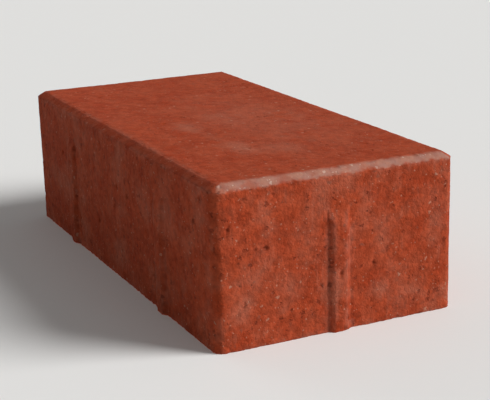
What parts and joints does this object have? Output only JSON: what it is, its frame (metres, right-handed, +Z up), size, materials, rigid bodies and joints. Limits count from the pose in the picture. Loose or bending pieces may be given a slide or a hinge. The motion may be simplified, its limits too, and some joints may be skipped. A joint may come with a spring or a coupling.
{
  "type": "concrete paving stone",
  "caption": "Rectangular pressed concrete paving stone with a sloping rim round its wearing face and spacer nibs on its sides, for laying paths and drives.",
  "frame": {"origin": "middle of the bed face, the flat underside that the stone lies on", "axes": "+X along the stone's length, +Y across it, +Z up to the wearing face"},
  "size_m": [0.2, 0.1, 0.06],
  "materials": {
    "red_concrete": "matte"
  },
  "bodies": {
    "root": {"paving_stone": "red_concrete"}
  },
  "joints": []
}
